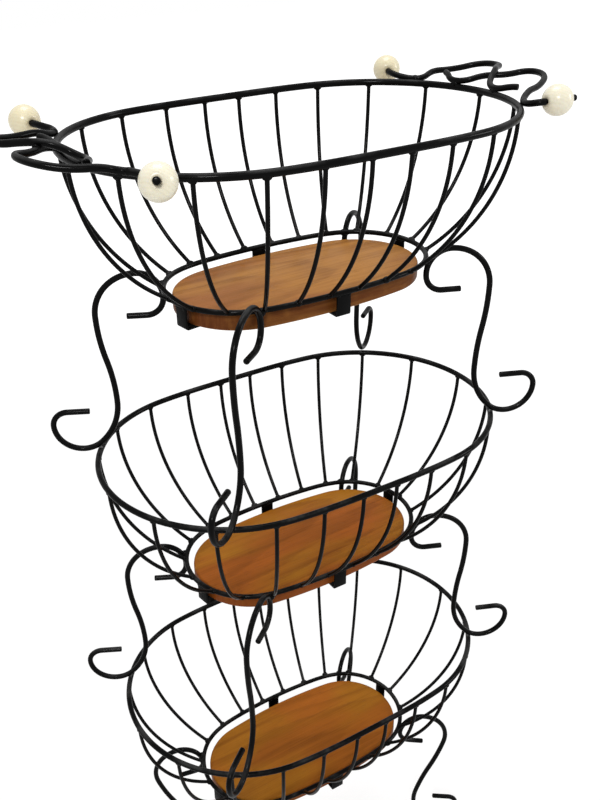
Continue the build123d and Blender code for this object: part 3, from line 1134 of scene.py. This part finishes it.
def legWelds(tier):
    spots = []
    dip = math.radians(legs["weldAngle"])
    for xSign, ySign, placeAngle, planeAngle in legs["corners"].values():
        toward = mirrored(heading(planeAngle), xSign, ySign) * math.cos(dip) - up * math.sin(dip)
        spot = mirrored(ringOval.atAngle(placeAngle), xSign, ySign) + up * ringHoop[tier]["height"]
        spot = spot + toward * ringHoop[tier]["radius"]
        spots.append((spot, hoopWay(spot, ringOval), weld["leg"]))
    return spots


def clipWelds(tier):
    spots = []
    for spot, out in clipPlaces(tier):
        along = out.cross(up)
        for side in (-1, 1):
            across = along * side * clips["width"] * weld["clipSpreadShare"]
            spots.append((spot + across - up * ringHoop[tier]["radius"], along, weld["clip"]))
    return spots


def handleWelds():
    spots = []
    for corner in beads["places"]:
        places = handlePlaces(corner)
        for name, drop in (("seat", handles["radius"]), ("weld", 0)):
            spots.append((places[name][0] - up * drop, places[name][1], weld["handle"]))
    for side in ("left", "right"):
        front, rear = (handlePlaces(f"{side}_{end}")["crossing"][0] for end in ("front", "rear"))
        spots.append(((front + rear) / 2, Vector((1, 0, 0)), weld["handle"] * weld["crossingShare"]))
    return spots


weldBeads = weldTree()
for index, tier in enumerate(tiers):
    spots = ribWelds(tier) + legWelds(tier) + clipWelds(tier)
    if tier == "top":
        spots += handleWelds()
    values = {
        "Stretch": weld["stretch"],
        "Lumpiness": weld["lump"],
        "Seed": weld["seed"] + index,
        "Finish": weldFinish,
    }
    points = weldPoints(tier + "WeldPoints", spots)
    blobs = smooth(runTree(points, weldBeads, values, tier + "Welds"), sharpFrom=80)
    addWearAndShade(blobs)
    attach(blobs, tier + "_basket", [])
print("welds laid")


# Wood floors
def cutPlate(name, outline, push, sharpFrom, ease, segments):  # a flat outline made thick, its edges eased
    made = bmesh.new()
    face = made.faces.new([made.verts.new(spot) for spot in outline])
    raised = bmesh.ops.extrude_face_region(made, geom=[face])
    moved = [item for item in raised["geom"] if isinstance(item, bmesh.types.BMVert)]
    bmesh.ops.translate(made, vec=push, verts=moved)
    bmesh.ops.recalc_face_normals(made, faces=made.faces)
    sharp = [edge for edge in made.edges if edge.calc_face_angle(0) > math.radians(sharpFrom)]
    bmesh.ops.bevel(made, geom=sharp, offset=ease, segments=segments, profile=0.5, affect="EDGES")
    return meshObject(name, made)


def boardPiece(tier):
    top = ringHoop[tier]["height"] - board["drop"]
    below = up * (top - board["thickness"])
    outline = [spot + below for spot, _ in boardOval.outline(board["outlineSteps"])]
    push = up * board["thickness"]
    plate = cutPlate(tier + "Board", outline, push, sharpFrom=60, ease=board["rounding"], segments=5)
    piece = smooth(plate, sharpFrom=35)
    piece.data.materials.append(boardFinish[tier])
    edge = [spot + up * top for spot, _ in boardOval.outline(board["wearSteps"])]
    return addWearAndShade(piece, edge, board["wearReach"])


for tier in tiers:
    attach(boardPiece(tier), tier + "_basket", [tier + "_board"])
print("floors cut")


# Strap clips and their screws
def strapPiece(spot, out, tier):
    half = clips["thickness"] / 2
    top = clips["sink"] - ringHoop[tier]["radius"]
    floor = -board["drop"] - board["thickness"]
    corner = Vector((half - clips["bend"], floor - clips["thickness"] + clips["bend"]))
    bend = [corner + Vector((math.cos(a), -math.sin(a))) * clips["bend"] for a in easedCorner]
    outline = [
        Vector((-half, top)),
        Vector((-half, floor)),
        Vector((-clips["foot"], floor)),
        Vector((-clips["foot"], floor - clips["thickness"])),
        *reversed(bend),
        Vector((half, top)),
    ]
    across = out.cross(up) * clips["width"]
    places = [spot + out * p.x + up * p.y - across / 2 for p in outline]
    strap = cutPlate("strap", places, across, sharpFrom=50, ease=clips["edgeEase"], segments=2)
    return smooth(strap, sharpFrom=40)


screws = {
    "headRadius": 3.2 * mm,
    "headHeight": 1.8 * mm,
    "slotWidth": 0.9 * mm,
    "slotDepth": 1.0 * mm,
    "slotReachShare": 1.15,  # of the head's radius
    "segments": 32,
    "mostTurn": 1.5,
    "seed": 5,
}


def cuttingBlock(tree, sizes, lift):
    block = tree.add("GeometryNodeMeshCube", {}, {"Size": sizes})
    moved = {"Geometry": block, "Translation": tree.vector(0.0, 0.0, lift)}
    return tree.add("GeometryNodeTransform", {}, moved)


def screwTree():
    tree, source = newGeometryTree("screwHeads", {
        "Head Radius": "Float",
        "Head Height": "Float",
        "Slot Width": "Float",
        "Slot Depth": "Float",
        "Seed": "Int",
        "Finish": "Material",
    })
    radius, height = source.out("Head Radius"), source.out("Head Height")
    rounds = {"Segments": screws["segments"], "Rings": screws["segments"] // 2, "Radius": 1.0}
    ball = tree.add("GeometryNodeMeshUVSphere", {}, rounds)
    shaped = {"Geometry": ball, "Scale": tree.vector(radius, radius, height)}
    head = tree.add("GeometryNodeTransform", {}, shaped)
    reach, width = radius * screws["slotReachShare"], source.out("Slot Width")
    depth = source.out("Slot Depth") * 2
    cutters = [
        cuttingBlock(tree, tree.vector(radius * 3, radius * 3, height * 2), height),  # all above the strap
        cuttingBlock(tree, tree.vector(reach, width, depth), 0.0 - height),
        cuttingBlock(tree, tree.vector(width, reach, depth), 0.0 - height),
    ]
    for cutter in cutters:  # the bars' floors lie level, which only this solver keeps closed
        cut = {"operation": "DIFFERENCE", "solver": "MANIFOLD"}
        head = tree.add("GeometryNodeMeshBoolean", cut, [head, cutter])
    turn = tree.random(0.0, screws["mostTurn"], source.out("Seed"))
    placed = onPoints(tree, source, head, tree.vector(0.0, 0.0, turn), {})
    return finishTree(tree, placed, source)


screwHeads = screwTree()
for index, tier in enumerate(tiers):
    places = clipPlaces(tier)
    clipSet = joined([strapPiece(spot, out, tier) for spot, out in places], tier + "Clips")
    clipSet.data.materials.append(clipFinish)
    under = -board["drop"] - board["thickness"] - clips["thickness"]
    heads = [spot - out * clips["screwInset"] + up * under for spot, out in places]
    addWearAndShade(clipSet, heads, clips["rubReach"])
    attach(clipSet, tier + "_basket", [tier + "_clips"])
    points = bpy.data.meshes.new("screwPoints")
    points.from_pydata(heads, [], [])
    values = {
        "Head Radius": screws["headRadius"],
        "Head Height": screws["headHeight"],
        "Slot Width": screws["slotWidth"],
        "Slot Depth": screws["slotDepth"],
        "Seed": screws["seed"] + index,
        "Finish": screwFinish,
    }
    made = runTree(newObject("screwPoints", points), screwHeads, values, tier + "Screws")
    attach(smooth(made, sharpFrom=35), tier + "_basket", [tier + "_screws"])
print("clips and screws fixed")


# Floor, light and camera
studio = {
    "floorSize": 14.0,
    "floorColour": 0.86,
    "whiteLevel": 1.25,
    "shadowShare": 0.42,
    "shadowReach": (0.6, 1.8),
    "ambient": 0.44,
    "lampTarget": (0, 0, 0.45),
    "lamps": {  # place, size and power
        "keyLamp": ((-1.3, -1.7, 2.1), 0.5, 27),
        "fillLamp": ((1.9, -1.2, 1.3), 0.55, 11),
        "topLamp": ((0.2, 0.5, 2.6), 1.2, 18),
    },
}
photoCamera = {
    "longSidePixels": 800,
    "centrePixel": (300, 400),
    "focalPixels": 947.7,
    "principalPixel": (267.05, 404.16),
    "yaw": 30.447,
    "pitch": 28.758,
    "roll": 1.775,
    "fromTopRim": (-0.37622, -0.58542, 0.15021),
}


def seenRays(tree):  # 1 on rays from the camera and on those it sees in gloss or glass
    path = tree.add("ShaderNodeLightPath")
    total = path.out("Is Camera Ray") + path.out("Is Glossy Ray") + path.out("Is Transmission Ray")
    return tree.maths("MINIMUM", total, 1.0)


def makeFloor():
    mesh = bpy.data.meshes.new("floor")
    half = studio["floorSize"] / 2
    corners = [(-half, -half, 0), (half, -half, 0), (half, half, 0), (-half, half, 0)]
    mesh.from_pydata(corners, [], [(0, 1, 2, 3)])
    floor = newObject("floor", mesh)
    material = bpy.data.materials.new("paleFloor")
    material.use_nodes = True
    material.node_tree.nodes.clear()
    tree = NodeTree(material.node_tree)
    plain = tree.add("ShaderNodeBsdfDiffuse", {}, {"Color": grey(studio["floorColour"])})
    glow = tree.add("ShaderNodeEmission", {}, {"Color": grey(1), "Strength": studio["whiteLevel"]})
    place = tree.objectPlace()
    away = tree.add("ShaderNodeVectorMath", {"operation": "LENGTH"}, {"Vector": place}).out("Value")
    share = (1 - tree.between(away, *studio["shadowReach"])) * studio["shadowShare"]
    bright = tree.add("ShaderNodeMixShader", {}, [share, glow, plain])
    shown = tree.add("ShaderNodeMixShader", {}, [seenRays(tree), plain, bright])
    tree.add("ShaderNodeOutputMaterial", {}, [shown])
    mesh.materials.append(material)


def makeWorld():
    world = bpy.data.worlds.new("studioWorld")
    bpy.context.scene.world = world
    world.use_nodes = True
    world.node_tree.nodes.clear()
    tree = NodeTree(world.node_tree)
    strength = studio["ambient"] + seenRays(tree) * (1 - studio["ambient"])
    light = tree.add("ShaderNodeBackground", {}, {"Color": grey(1), "Strength": strength})
    tree.add("ShaderNodeOutputWorld", {}, [light])


def makeLamps():
    for name, (spot, size, power) in studio["lamps"].items():
        data = bpy.data.lights.new(name, "AREA")
        data.shape = "DISK"
        data.size = size
        data.energy = power
        lamp = newObject(name, data)
        lamp.location = spot
        lamp.rotation_mode = "QUATERNION"
        aim = Vector(studio["lampTarget"]) - Vector(spot)
        lamp.rotation_quaternion = aim.to_track_quat("-Z", "Y")


def makeCamera():
    look = photoCamera
    yaw, pitch, roll = (math.radians(look[name]) for name in ("yaw", "pitch", "roll"))
    ahead = Vector((math.sin(yaw) * math.cos(pitch), math.cos(yaw) * math.cos(pitch), -math.sin(pitch)))
    level = Vector((math.cos(yaw), -math.sin(yaw), 0))
    down = ahead.cross(level)
    right = level * math.cos(roll) + down * math.sin(roll)
    below = down * math.cos(roll) - level * math.sin(roll)
    data = bpy.data.cameras.new("photoCamera")
    camera = newObject("photoCamera", data)
    camera.rotation_mode = "QUATERNION"
    camera.rotation_quaternion = Matrix((right, -below, -ahead)).transposed().to_quaternion()
    camera.location = Vector(look["fromTopRim"]) + up * rimHoop["top"]["height"]
    data.lens = look["focalPixels"] * data.sensor_width / look["longSidePixels"]
    data.shift_x = (look["centrePixel"][0] - look["principalPixel"][0]) / look["longSidePixels"]
    data.shift_y = (look["principalPixel"][1] - look["centrePixel"][1]) / look["longSidePixels"]
    bpy.context.scene.camera = camera


makeFloor()
makeWorld()
makeLamps()
makeCamera()
bpy.context.scene.view_settings.view_transform = "Standard"
print("studio set")
